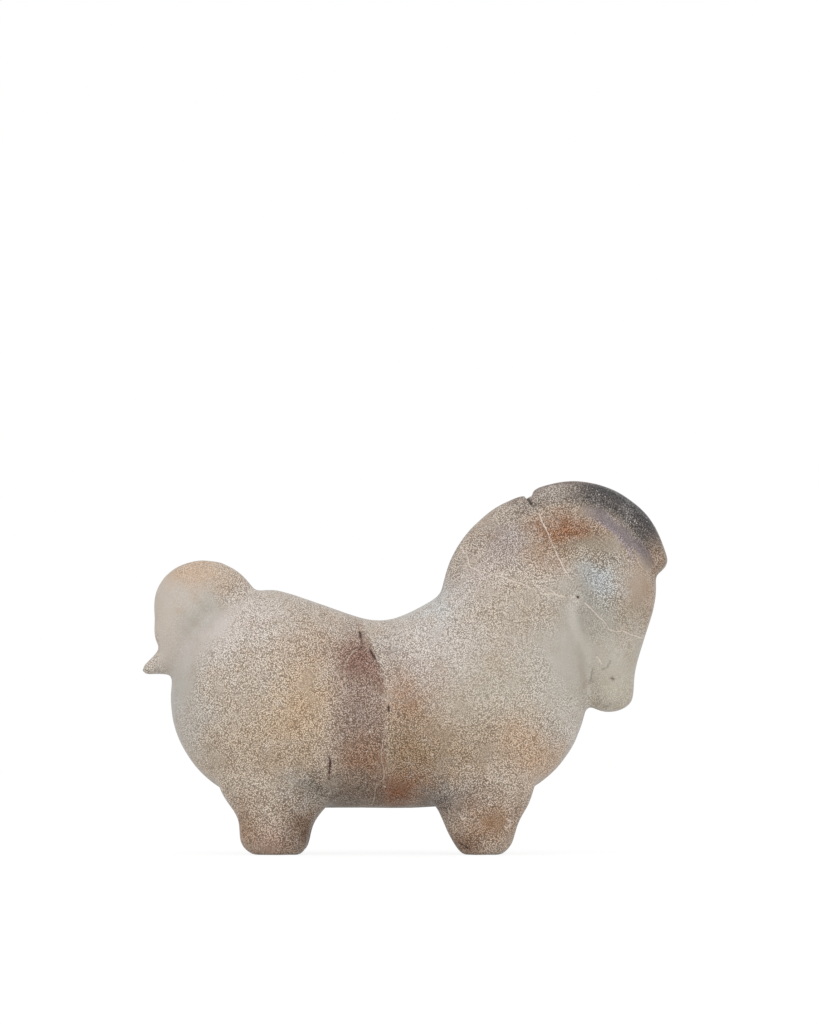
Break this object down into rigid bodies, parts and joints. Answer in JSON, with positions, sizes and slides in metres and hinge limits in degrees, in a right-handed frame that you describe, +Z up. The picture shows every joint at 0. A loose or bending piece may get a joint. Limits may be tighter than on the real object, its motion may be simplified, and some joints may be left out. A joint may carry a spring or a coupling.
{
  "type": "horse sculpture",
  "caption": "Stocky standing horse sculpture cast in one piece in stoneware, with an arched neck, a tucked head, a rolled mane, a curled tail and short stump legs.",
  "frame": {"origin": "centre of the bounding box at the plane of the soles, on the horse's plane of symmetry", "axes": "+X from the tail towards the head, +Y towards the horse's left side, +Z up"},
  "size_m": [0.2807, 0.1036, 0.1988],
  "materials": {
    "stoneware": "matt mottled glaze in warm greys, tan and rust brown, with fine speckles and crackle lines"
  },
  "bodies": {
    "root": {"horse": "stoneware"}
  },
  "joints": []
}
